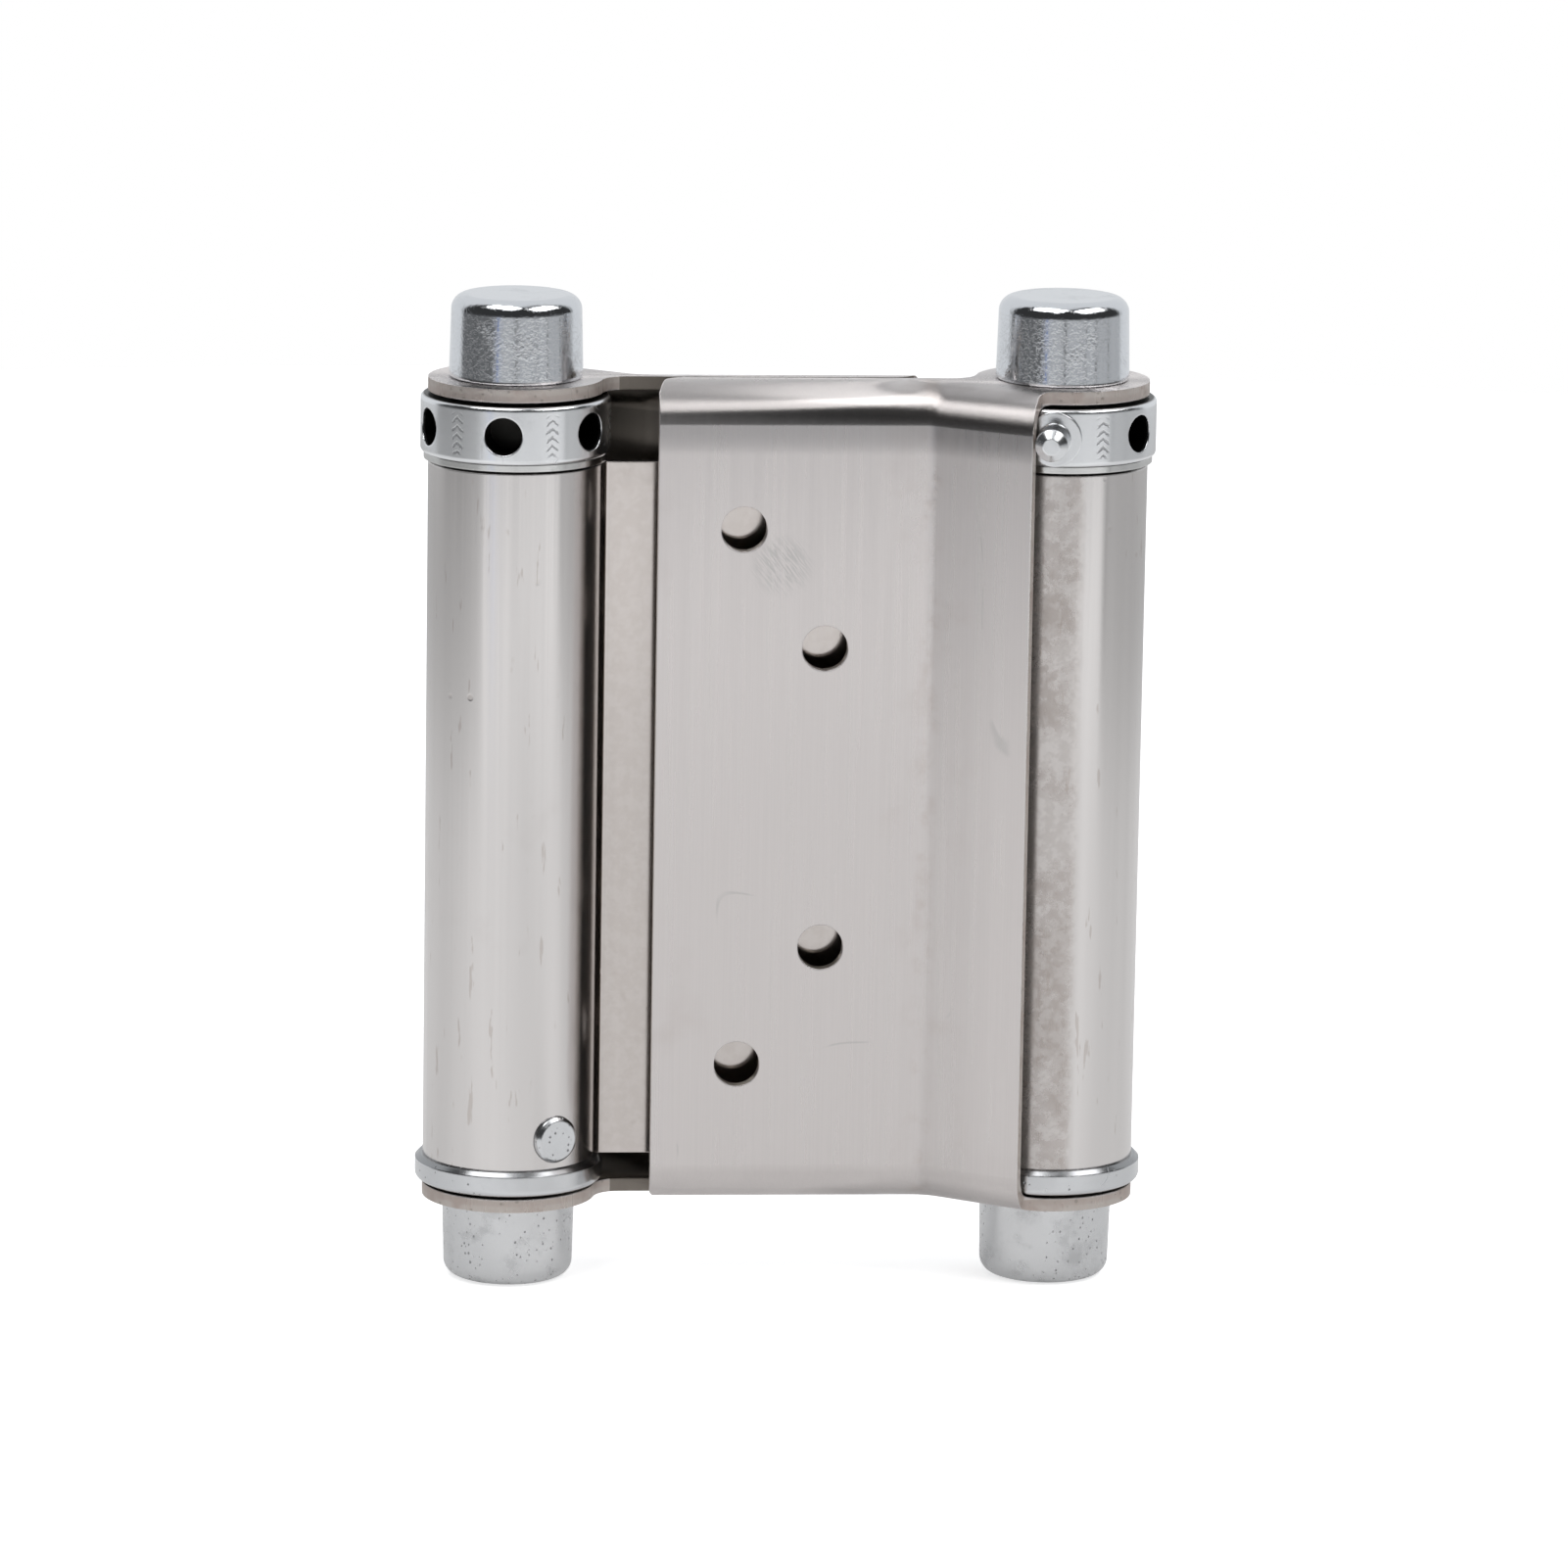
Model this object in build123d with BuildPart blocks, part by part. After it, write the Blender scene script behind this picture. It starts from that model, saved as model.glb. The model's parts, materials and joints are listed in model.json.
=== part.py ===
from build123d import *
import os
from math import asin, cos, degrees, radians, sin, tan

os.makedirs("parts", exist_ok=True)

# Double action spring hinge with two barrels and three leaves, in millimetres.
# The door leaf swings round the right barrel, the jamb leaf round the left one, and an S shaped
# middle leaf rolled into both barrels joins them. Each barrel holds a torsion spring. Its upper
# end is held by a collar with six winding holes, whose pin bears on the leaf's free edge.
# +Z runs up the barrels, +X from the jamb barrel to the door barrel, and the door leaf faces -Y.
# The origin lies half way between the two pin axes, at the middle of the leaves' height.
# The hinge looks the same after half a turn about Z, so everything on the right barrel is drawn
# once, and the left one is the same piece turned by 180 degrees.

# Leaves
leaf_height = 75.0
sheet = 1.2
pin_spacing = 49.0
face_offset = 4.6
leaf_edge_reach = 11.9
crease_reach = 12.5
crease_slope = 35.0
bend_radius = 3.6
crease_radius = 1.6
flange_gap = 0.3
flange_taper = 1.0
flange_corner_radius = 2.2
ear_overhang = 0.05
ear_neck_radius = 2.5
ear_heel_radius = 1.2
reverse_bend_radius = 0.8
seam_width = 0.35

# Screw holes, measured from the middle of the hinge
screw_hole_diameter = 4.1
outer_screw_x = -4.2
outer_screw_spacing = 49.0
inner_screw_x = 3.2
inner_screw_spacing = 27.4

# Barrel tube and what turns in it
tube_diameter = 15.6
spindle_diameter = 5.0
collar_overhang = 0.7
collar_height = 5.2
collar_rim_radius = 0.4
washer_overhang = 0.4
washer_thickness = 0.6
boss_engagement = 4.5
plug_overhang = 0.7
plug_ring_height = 2.3
plug_rim_radius = 0.6
plug_chamfer = 0.4
plug_engagement = 6.2

# Caps on the spindle's ends
cap_diameter = 12.0
cap_height = 7.5
cap_draft = 1.5
cap_crown_radius = 1.4
cap_foot_radius = 0.3
cap_bore_depth = 5.6
spindle_grip = 5.0

# Winding holes and tension pin, with angles taken from the front towards +X
hole_count = 6
pin_angle = -10.0
winding_hole_diameter = 3.4
winding_hole_wall = 2.05
pin_shank_diameter = 3.2
pin_flange_diameter = 4.9
pin_flange_thickness = 0.5
pin_stub_diameter = 2.9
pin_stub_stand = 2.1
pin_tip_chamfer = 0.7
spindle_chamfer = 0.5

# Pin that locks the plug to the tube, on the door side of the jamb barrel
plug_pin_angle = 30.0
plug_pin_diameter = 4.2
plug_pin_height = 2.75
plug_pin_wall = 1.05
plug_pin_stand = 0.5
plug_pin_chamfer = 0.3

# Torsion spring of rectangular wire
wire_radial = 1.6
wire_axial = 3.0
coil_turns = 10
tang_width = 2.2
tang_length = 3.0

# Clearances
running_clearance = 0.05
end_play = 0.3
tube_play = 0.3
boss_clearance = 0.3
washer_clearance = 0.1
plug_clearance = 0.02
collar_clearance = 1.2
edge_clearance = 0.12
pin_seat = 0.1
coil_end_clearance = 0.4
coil_wall_clearance = 0.7
tang_clearance = 0.2
pick_margin = 0.01

# Places worked out from the sizes above
pin_x = pin_spacing / 2
half_height = leaf_height / 2
flange_inside = half_height - sheet
back_y = -flange_gap / 2
inner_face_offset = face_offset - sheet
spindle_radius = spindle_diameter / 2
spindle_bore = spindle_radius + running_clearance
tube_radius = tube_diameter / 2
tube_bore = tube_radius - sheet
ear_radius = tube_radius + ear_overhang
collar_radius = tube_radius + collar_overhang
washer_radius = tube_radius + washer_overhang
plug_radius = tube_radius + plug_overhang
winding_hole_floor = spindle_bore + winding_hole_wall
plug_pin_floor = spindle_bore + plug_pin_wall
collar_top = flange_inside - end_play
collar_bottom = collar_top - collar_height
hole_z = (collar_top + collar_bottom) / 2
washer_bottom = collar_bottom - washer_thickness
tube_top = washer_bottom - tube_play
boss_radius = tube_bore - boss_clearance
boss_bottom = tube_top - boss_engagement
plug_bottom = end_play - flange_inside
tube_bottom = plug_bottom + plug_ring_height
plug_top = tube_bottom + plug_engagement
plug_body_radius = tube_bore - plug_clearance
plug_pin_z = tube_bottom + plug_pin_height
tube_length = tube_top - tube_bottom
coil_radius = tube_bore - coil_wall_clearance - wire_radial / 2
tang_slot_inside = coil_radius - wire_radial / 2 - tang_clearance
tang_slot_depth = tube_bore - tang_slot_inside
coil_bottom = plug_top + coil_end_clearance + wire_axial / 2
coil_top = boss_bottom - coil_end_clearance - wire_axial / 2
coil_length = coil_top - coil_bottom

# The leaf's free edge lies on a radius of the barrel, just clear of the tension pin's stub.
edge_inner_radius = collar_radius + collar_clearance
edge_outer_radius = edge_inner_radius + sheet
pin_stub_reach = edge_outer_radius + pin_stub_stand
edge_turn = degrees(asin((pin_stub_diameter / 2 + edge_clearance) / edge_inner_radius))
edge_angle = radians(pin_angle - edge_turn)
edge_outer = (pin_x + edge_outer_radius * sin(edge_angle), -edge_outer_radius * cos(edge_angle))
edge_inner = (pin_x + edge_inner_radius * sin(edge_angle), -edge_inner_radius * cos(edge_angle))
slope_start = (cos(radians(crease_slope)), -sin(radians(crease_slope)))
crease_inset = sheet * (1 - cos(radians(crease_slope))) / sin(radians(crease_slope))


def radial_plane(angle, distance, height, side=1):
    """Plane square to a radius of the right barrel, or of the left one where side is -1."""
    outward = Vector(sin(radians(angle)), -cos(radians(angle)), 0) * side
    centre = Vector(side * pin_x, 0, height) + outward * distance
    return Plane(origin=centre, x_dir=(0, 0, 1), z_dir=outward)


def revolved_plane():
    """Plane through the right barrel's axis, with local x along the radius and y up."""
    return Plane(origin=(pin_x, 0, 0), x_dir=(1, 0, 0), z_dir=(0, -1, 0))


# Room inside a leaf, between its bent flanges, with the inside radius of the bends
with BuildPart() as leaf_room:
    with BuildSketch(Plane.XY.offset(-flange_inside)) as room_plan:
        with BuildLine():
            crease = (crease_reach - crease_inset, -inner_face_offset)
            Line((-2 * leaf_edge_reach, -inner_face_offset), crease)
            slope = TangentArc(crease, edge_inner, tangent=slope_start)
            beyond = slope @ 1 + (slope % 1) * pin_x
            Polyline(slope @ 1, beyond, (beyond.X, pin_x), (-2 * leaf_edge_reach, pin_x),
                     (-2 * leaf_edge_reach, -inner_face_offset))
        make_face()
        fillet(room_plan.vertices().sort_by_distance(crease)[0], crease_radius + sheet)
    extrude(amount=2 * flange_inside)
    ends = leaf_room.faces().filter_by(Axis.Z).edges()
    fillet(ends.filter_by(lambda edge: edge.center().Y < -inner_face_offset / 2), bend_radius - sheet)

# Door leaf: flat face with four staggered screw holes, a crease and a slope up to the free edge,
# and a flange bent back along the top and the foot that ends in an ear round the spindle
with BuildPart() as door_leaf:
    with BuildSketch(Plane.XY.offset(-half_height)) as leaf_plan:
        with BuildLine():
            front_left = (-leaf_edge_reach, -face_offset)
            taper_start = (-leaf_edge_reach, -inner_face_offset)
            back_left = (flange_taper - leaf_edge_reach, back_y)
            crease = (crease_reach, -face_offset)
            Line(front_left, crease)
            TangentArc(crease, edge_outer, tangent=slope_start)
            Polyline(edge_outer, (pin_x, back_y), back_left, taper_start, front_left)
        make_face()
        fillet(leaf_plan.vertices().sort_by_distance(crease)[0], crease_radius)
        fillet(leaf_plan.vertices().sort_by_distance(back_left)[0], flange_corner_radius)
        with Locations((pin_x, 0)):
            Circle(ear_radius)
        neck = leaf_plan.vertices().sort_by_distance((pin_x - ear_radius, back_y))[0]
        fillet(neck, ear_neck_radius)
        heel_place = (pin_x + ear_radius * sin(edge_angle), -ear_radius * cos(edge_angle))
        heel = leaf_plan.vertices().sort_by_distance(heel_place)[0]
        fillet(heel, ear_heel_radius)
    extrude(amount=leaf_height)
    ends = door_leaf.faces().filter_by(Axis.Z).edges()
    front = ends.filter_by(lambda edge: edge.center().Y < pick_margin - face_offset)
    fillet(front.filter_by(lambda edge: edge.center().X < edge_outer[0]), bend_radius)
    add(leaf_room.part, mode=Mode.SUBTRACT)
    with Locations((pin_x, 0, half_height)):
        Hole(spindle_bore)
    with BuildSketch(Plane.XZ.offset(face_offset)):
        with Locations(
            (outer_screw_x, outer_screw_spacing / 2),
            (inner_screw_x, inner_screw_spacing / 2),
            (inner_screw_x, -inner_screw_spacing / 2),
            (outer_screw_x, -outer_screw_spacing / 2),
        ):
            Circle(screw_hole_diameter / 2)
    extrude(amount=-sheet, mode=Mode.SUBTRACT)

# Middle leaf: a web on the plane of the pins, rolled at each end into a barrel tube. Each roll
# leaves the web in a small reverse bend on one side and ends at a narrow seam on the other.
with BuildPart() as middle_leaf:
    with BuildSketch(Plane.XY.offset(tube_bottom)) as middle_plan:
        Rectangle(pin_spacing, sheet)
        with Locations((-pin_x, 0), (pin_x, 0)):
            Circle(tube_radius)
        corners = middle_plan.vertices()
        front_corner = corners.sort_by_distance((tube_radius - pin_x, -sheet / 2))[0]
        rear_corner = corners.sort_by_distance((pin_x - tube_radius, sheet / 2))[0]
        fillet([front_corner, rear_corner], reverse_bend_radius)
        with Locations((-pin_x, 0), (pin_x, 0)):
            Circle(tube_bore, mode=Mode.SUBTRACT)
        seam_x = pin_x - tube_radius + sheet / 2
        seam_y = (sheet + seam_width) / 2
        with Locations((-seam_x, seam_y), (seam_x, -seam_y)):
            Rectangle(2 * sheet, seam_width, mode=Mode.SUBTRACT)
    extrude(amount=tube_length)
    with BuildSketch(*[radial_plane(plug_pin_angle + 180, 0, plug_pin_z, side) for side in (1, -1)]):
        Circle(plug_pin_diameter / 2 + plug_clearance)
    extrude(amount=tube_radius + plug_pin_stand, mode=Mode.SUBTRACT)

# Spindle: one rod through both ears, the collar, the spring and the plug
with BuildPart() as spindle:
    with BuildSketch(Plane.XY.offset(-half_height - spindle_grip)):
        with Locations((pin_x, 0)):
            Circle(spindle_radius)
    extrude(amount=leaf_height + 2 * spindle_grip)
    chamfer(spindle.edges().filter_by(GeomType.CIRCLE), spindle_chamfer)

# Top cap: a crowned button with a little draft, pressed on the spindle's end
with BuildPart() as top_cap:
    with BuildSketch(revolved_plane()) as cap_profile:
        with BuildLine():
            cap_top = half_height + cap_height
            crown_x = cap_diameter / 2 - cap_height * tan(radians(cap_draft))
            Polyline((0, half_height), (cap_diameter / 2, half_height), (crown_x, cap_top), (0, cap_top),
                     (0, half_height))
        make_face()
        with Locations((0, half_height)):
            Rectangle(spindle_radius, cap_bore_depth, align=(Align.MIN, Align.MIN),
                      mode=Mode.SUBTRACT)
        crown = cap_profile.vertices().sort_by_distance((crown_x, cap_top))[0]
        fillet(crown, cap_crown_radius)
        foot = cap_profile.vertices().sort_by_distance((cap_diameter / 2, half_height))[0]
        fillet(foot, cap_foot_radius)
    revolve(axis=Axis((pin_x, 0, 0), (0, 0, 1)))

# Bottom cap: the same button, upside down
with BuildPart() as bottom_cap:
    add(mirror(top_cap.part, about=Plane.XY, mode=Mode.PRIVATE))

# Tension collar: winding holes round a thick ring, and a boss down into the tube with a slot
# for the spring's upper tang
with BuildPart() as tension_collar:
    with BuildSketch(Plane.XY.offset(collar_bottom)):
        with Locations((pin_x, 0)):
            Circle(collar_radius)
    extrude(amount=collar_height)
    fillet(tension_collar.edges().filter_by(GeomType.CIRCLE), collar_rim_radius)
    with BuildSketch(Plane.XY.offset(boss_bottom)):
        with Locations((pin_x, 0)):
            Circle(boss_radius)
    extrude(amount=collar_bottom - boss_bottom)
    with Locations((pin_x, 0, collar_top)):
        Hole(spindle_bore)
    winding = [radial_plane(pin_angle + turn * 360 / hole_count, winding_hole_floor, hole_z)
               for turn in range(hole_count)]
    with BuildSketch(*winding):
        Circle(winding_hole_diameter / 2)
    extrude(amount=collar_radius, mode=Mode.SUBTRACT)
    with BuildSketch(Plane.XY.offset(boss_bottom)):
        with Locations((pin_x + tang_slot_inside, -tang_width / 2)):
            Rectangle(tang_slot_depth, tang_width + 2 * tang_clearance, align=(Align.MIN, Align.CENTER))
    extrude(amount=tang_length + tang_clearance, mode=Mode.SUBTRACT)

# Washer between the collar and the end of the tube
with BuildPart() as collar_washer:
    with BuildSketch(Plane.XY.offset(washer_bottom)):
        with Locations((pin_x, 0)):
            Circle(washer_radius)
            Circle(boss_radius + washer_clearance, mode=Mode.SUBTRACT)
    extrude(amount=washer_thickness)

# Tension pin: a round flange bent to the round of the collar, a shank in one winding hole and a
# stub that bears on the leaf's free edge
with BuildPart() as tension_pin:
    with BuildSketch(Plane.XY.offset(collar_bottom)):
        with Locations((pin_x, 0)):
            Circle(collar_radius + pin_seat + pin_flange_thickness)
            Circle(collar_radius + pin_seat, mode=Mode.SUBTRACT)
    extrude(amount=collar_height)
    with BuildSketch(radial_plane(pin_angle, 0, hole_z)):
        Circle(pin_flange_diameter / 2)
    extrude(amount=pin_stub_reach, mode=Mode.INTERSECT)
    with BuildSketch(radial_plane(pin_angle, winding_hole_floor + pin_seat, hole_z)):
        Circle(pin_shank_diameter / 2)
    extrude(amount=collar_radius - winding_hole_floor)
    with BuildSketch(radial_plane(pin_angle, collar_radius, hole_z)):
        Circle(pin_stub_diameter / 2)
    extrude(amount=pin_stub_reach - collar_radius)
    tip = tension_pin.edges().filter_by(GeomType.CIRCLE).sort_by(Axis.Y)[0]
    chamfer(tip, pin_tip_chamfer)

# Bottom plug: a body that fits the tube, a ring under the tube's end, and a slot for the
# spring's lower tang
with BuildPart() as bottom_plug:
    with BuildSketch(Plane.XY.offset(plug_bottom)):
        with Locations((pin_x, 0)):
            Circle(plug_radius)
    extrude(amount=plug_ring_height)
    rims = bottom_plug.edges().filter_by(GeomType.CIRCLE).sort_by(Axis.Z)
    fillet(rims[0], plug_rim_radius)
    chamfer(rims[-1], plug_chamfer)
    with BuildSketch(Plane.XY.offset(tube_bottom)):
        with Locations((pin_x, 0)):
            Circle(plug_body_radius)
    extrude(amount=plug_engagement)
    with Locations((pin_x, 0, plug_top)):
        Hole(spindle_bore)
    with BuildSketch(radial_plane(plug_pin_angle + 180, plug_pin_floor, plug_pin_z)):
        Circle(plug_pin_diameter / 2)
    extrude(amount=plug_body_radius, mode=Mode.SUBTRACT)
    with BuildSketch(Plane.XY.offset(plug_top)):
        with Locations((pin_x + tang_slot_inside, tang_width / 2)):
            Rectangle(tang_slot_depth, tang_width + 2 * tang_clearance, align=(Align.MIN, Align.CENTER))
    extrude(amount=-tang_length - tang_clearance, mode=Mode.SUBTRACT)

# Plug pin: a plain pin through the tube's wall into the plug, standing a little proud
with BuildPart() as plug_pin:
    with BuildSketch(radial_plane(plug_pin_angle + 180, plug_pin_floor, plug_pin_z)):
        Circle(plug_pin_diameter / 2)
    extrude(amount=tube_radius + plug_pin_stand - plug_pin_floor)
    chamfer(plug_pin.edges().filter_by(GeomType.CIRCLE).sort_by(Axis.Y)[-1], plug_pin_chamfer)

# Torsion spring: an open coil of rectangular wire, with an axial tang at each end
with BuildPart() as spring:
    with BuildLine() as coil:
        Helix(coil_length / coil_turns, coil_length, coil_radius, center=(pin_x, 0, coil_bottom))
    with BuildSketch(Plane(origin=coil.line @ 0, x_dir=(1, 0, 0), z_dir=coil.line % 0)):
        Rectangle(wire_radial, wire_axial)
    sweep(is_frenet=True)
    with BuildSketch(Plane.XY.offset(coil_bottom)):
        with Locations((pin_x + coil_radius, tang_width / 2)):
            Rectangle(wire_radial, tang_width)
    extrude(amount=plug_top - coil_bottom - tang_length)
    with BuildSketch(Plane.XY.offset(coil_top)):
        with Locations((pin_x + coil_radius, -tang_width / 2)):
            Rectangle(wire_radial, tang_width)
    extrude(amount=boss_bottom - coil_top + tang_length)

# The jamb leaf is the door leaf turned round
with BuildPart() as jamb_leaf:
    add(door_leaf.part, rotation=(0, 0, 180))

for name, leaf in (("door_leaf", door_leaf), ("jamb_leaf", jamb_leaf), ("middle_leaf", middle_leaf)):
    leaf.part.label = name
    export_step(leaf.part, f"parts/{name}.step")

# What turns on, or holds, one barrel
barrel_pieces = {
    "spindle": spindle,
    "top_cap": top_cap,
    "bottom_cap": bottom_cap,
    "tension_collar": tension_collar,
    "collar_washer": collar_washer,
    "tension_pin": tension_pin,
    "bottom_plug": bottom_plug,
    "plug_pin": plug_pin,
    "spring": spring,
}
for side, turn in (("right", 0), ("left", 180)):
    for name, piece in barrel_pieces.items():
        with BuildPart() as placed:
            add(piece.part, rotation=(0, 0, turn))
        placed.part.label = f"{side}_{name}"
        export_step(placed.part, f"parts/{side}_{name}.step")
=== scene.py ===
"""A double action spring hinge in its metal finishes, on a pale floor in a soft studio.

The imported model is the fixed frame: every piece of the hinge is one of its nodes, in metres, +Z up
the barrels and the door leaf facing -Y. This file gives each node its finish and sets the stage.
"""

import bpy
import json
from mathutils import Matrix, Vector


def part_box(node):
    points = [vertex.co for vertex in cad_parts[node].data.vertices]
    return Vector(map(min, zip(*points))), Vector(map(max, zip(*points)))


bl_info = {
    "name": "Double Action Spring Hinge",
    "version": (1, 0, 0),
    "blender": (4, 5, 0),
    "location": "View3D > Sidebar > Spring Hinge",
    "description": "Gives a double action spring hinge its metal finishes and sets it in a soft studio",
    "category": "Object",
}

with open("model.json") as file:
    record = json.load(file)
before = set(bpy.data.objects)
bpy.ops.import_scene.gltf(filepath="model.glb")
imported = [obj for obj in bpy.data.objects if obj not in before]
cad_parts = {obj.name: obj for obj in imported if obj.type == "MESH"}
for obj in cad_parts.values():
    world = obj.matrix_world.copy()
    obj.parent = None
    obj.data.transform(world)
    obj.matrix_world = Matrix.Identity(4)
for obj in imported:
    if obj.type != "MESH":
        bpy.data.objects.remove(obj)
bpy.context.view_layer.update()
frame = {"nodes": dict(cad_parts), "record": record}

import json
from math import atan2, cos, pi, radians, sin

import bmesh
import bpy
from bpy.props import FloatProperty, FloatVectorProperty, PointerProperty
from bpy.types import Operator, Panel, PropertyGroup
from mathutils import Matrix, Vector

MILLIMETRE = 0.001
SIDES = ("left", "right")
WINDING_HOLES = 6

# Light on the floor by bearing: degrees from the front, positive to the right, and level
FLOOR_LIGHT = ((-180.0, 0.95), (-134.0, 0.94), (-100.0, 0.86), (-72.0, 0.93), (-54.0, 1.1), (-33.0, 1.05),
               (-8.0, 0.97), (16.0, 0.92), (33.0, 1.04), (50.0, 1.04), (72.0, 0.87), (107.0, 0.85),
               (140.0, 0.95), (180.0, 0.95))

# Dark stand and blue cable on the floor in front: bearing and half width in degrees
STAND = (59.5, 2.6)
CABLE = (-34.0, 1.4)

# Thickness of the leaves' sheet
SHEET = 1.2 * MILLIMETRE

# The leaves' screw holes lie nearer to the middle than these, and the sheared edges farther out
HOLES_REACH_X = 9.5 * MILLIMETRE
HOLES_REACH_Z = 32.5 * MILLIMETRE
FREE_EDGE_X = 20.5 * MILLIMETRE

# Strokes of the rubbed patch: their lean, and how many to a metre across and along
RUB_LEAN = radians(38.0)
RUB_STROKES = (9000.0, 9000.0, 900.0)

# Places read from the frame: the foot, the leaves' top, the pins, the web's edges and the winding holes
foot_z = min(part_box(f"{side}_bottom_cap")[0].z for side in SIDES)
leaf_top_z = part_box("door_leaf")[1].z
ear_inside_z = leaf_top_z - SHEET
spindle_low, spindle_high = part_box("right_spindle")
pin_x = (spindle_low.x + spindle_high.x) / 2
tube_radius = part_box("middle_leaf")[1].y
web_edge_x = pin_x - tube_radius
collar_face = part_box("right_tension_collar")[1].y
bar_hole = next(hole for hole in frame["record"]["mounts"] if hole["name"] == "right_bar_hole")
winding_angle = atan2(bar_hole["axis"][0], -bar_hole["axis"][1])
winding_z = bar_hole["pos_m"][2]


def colour_property(name, description, default):
    return FloatVectorProperty(name=name, description=description, subtype="COLOR", size=3,
                               min=0.0, max=1.0, default=default)


def factor_property(name, description, default):
    return FloatProperty(name=name, description=description, subtype="FACTOR", min=0.0, max=1.0,
                         default=default)


def length_property(name, description, default):
    return FloatProperty(name=name, description=description, unit="LENGTH", min=0.0, precision=5,
                         default=default)


class LeafFinish(PropertyGroup):
    """Sheet of the door leaf and the jamb leaf, ground with an upright grain"""

    colour: colour_property("Sheet colour", "Warm grey of the ground stainless sheet", (0.71, 0.672, 0.66))
    tarnish: colour_property("Tarnish colour", "Brownish tone of handled and heated places", (0.53, 0.45, 0.41))
    smudge: colour_property("Smudge colour", "Cool tone of the rubbed patch by the upper hole", (0.44, 0.44, 0.43))
    cut: colour_property("Cut edge colour", "Brown tone of the sheared edges", (0.62, 0.565, 0.525))
    # Painted highlight: near white colour along the free edge's rounded rim, on its burr
    burr_highlight: colour_property("Burr colour", "Bright torn metal along the free edge", (0.92, 0.90, 0.87))
    # Painted shade: darker colour of the faces turned in to the middle leaf, also the tone of the cut edges' pits
    inside: colour_property("Inside colour", "Dark scale on the inner faces", (0.32, 0.285, 0.25))
    roughness: factor_property("Roughness", "Gloss of the ground face", 0.29)
    anisotropy: factor_property("Grain stretch", "How far the upright grain spreads light sideways", 1.0)
    grain_width: length_property("Grain width", "Width of one line of the grain", 0.13 * MILLIMETRE)
    grain_length: length_property("Grain length", "Length of one line of the grain", 14.0 * MILLIMETRE)
    grain_depth: length_property("Grain depth", "Depth of the grain", 0.0003 * MILLIMETRE)
    worked_depth: length_property("Bend graininess", "Depth of the grains raised along the bends",
                                  0.0012 * MILLIMETRE)
    crease: length_property("Crease place", "From the middle of the hinge to the crease", 12.5 * MILLIMETRE)
    slope_end: length_property("Slope end", "From the middle of the hinge to the end of the slope", 20.5 * MILLIMETRE)
    bulge_start: length_property("Bulge start", "Height from the middle where the flat starts to curve to the bend",
                                 31.2 * MILLIMETRE)
    bulge_size: length_property("Bulge size", "Height over which the flat curves", 3.0 * MILLIMETRE)
    bulge_depth: length_property("Bulge depth", "How far the flat curves back", 0.07 * MILLIMETRE)
    rubbed: FloatVectorProperty(name="Rubbed place", description="Middle of the rubbed patch by the upper hole",
                                subtype="TRANSLATION", unit="LENGTH", size=3, precision=5,
                                default=(-0.0008, -0.0046, 0.0212))
    rubbed_size: length_property("Rubbed size", "Reach of the rubbed patch", 3.4 * MILLIMETRE)
    edge_width: length_property("Edge width", "Width of the dulled cut edge", 0.18 * MILLIMETRE)


class BarrelFinish(PropertyGroup):
    """Middle leaf: tubes polished by rolling, and the duller web between them"""

    colour: colour_property("Tube colour", "Grey of the rolled tube", (0.72, 0.695, 0.685))
    web_colour: colour_property("Web colour", "Pinkish grey of the web between the tubes", (0.645, 0.60, 0.575))
    tarnish: colour_property("Tarnish colour", "Brown tone left by rolling", (0.44, 0.37, 0.33))
    roughness: factor_property("Roughness", "Gloss of the tubes", 0.18)
    web_roughness: factor_property("Web roughness", "Gloss of the web", 0.1)
    anisotropy: factor_property("Grain stretch", "How far the die lines spread light sideways", 0.6)
    line_width: length_property("Line width", "Width of one die line along the tube", 0.45 * MILLIMETRE)
    line_length: length_property("Line length", "Length of one die line along the tube", 60.0 * MILLIMETRE)
    line_depth: length_property("Line depth", "Depth of the die lines", 0.0012 * MILLIMETRE)
    edge_width: length_property("Edge width", "Width of the broken edges", 0.15 * MILLIMETRE)


class PlatingFinish(PropertyGroup):
    """Bright plating of the caps, collars, plugs and pins"""

    chrome: colour_property("Chrome colour", "Cool tone of the polished caps", (0.74, 0.755, 0.78))
    satin: colour_property("Satin colour", "Tone of the duller lower caps", (0.70, 0.705, 0.715))
    nickel: colour_property("Nickel colour", "Tone of the collars and pins", (0.82, 0.83, 0.845))
    plug: colour_property("Plug colour", "Tone of the bottom plugs and their pins", (0.67, 0.68, 0.695))
    # Painted shade: near black colour deep in the winding holes
    bore_shade: colour_property("Bore colour", "Dark scale inside the winding holes", (0.03, 0.028, 0.026))
    chrome_roughness: factor_property("Chrome roughness", "Gloss of the upper caps", 0.07)
    satin_roughness: factor_property("Satin roughness", "Gloss of the lower caps", 0.24)
    nickel_roughness: factor_property("Nickel roughness", "Gloss of the collars, plugs and pins", 0.2)
    ripple_size: length_property("Ripple size", "Breadth of the waves in the plating", 0.35 * MILLIMETRE)
    ripple_depth: length_property("Ripple depth", "Depth of the waves in the plating", 0.0008 * MILLIMETRE)
    pit_size: length_property("Pit size", "Breadth of the pits in the plating", 0.45 * MILLIMETRE)
    # Painted shade starts this far under the collar's face
    bore_shade_depth: length_property("Bore edge", "How far under the collar's face the dark scale starts",
                                0.35 * MILLIMETRE)
    nick_width: length_property("Nick width", "Width of a column of punched nicks", 1.3 * MILLIMETRE)
    nick_pitch: length_property("Nick pitch", "Height from nick to nick", 0.75 * MILLIMETRE)
    edge_width: length_property("Edge width", "Width of the broken edges", 0.2 * MILLIMETRE)


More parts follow.
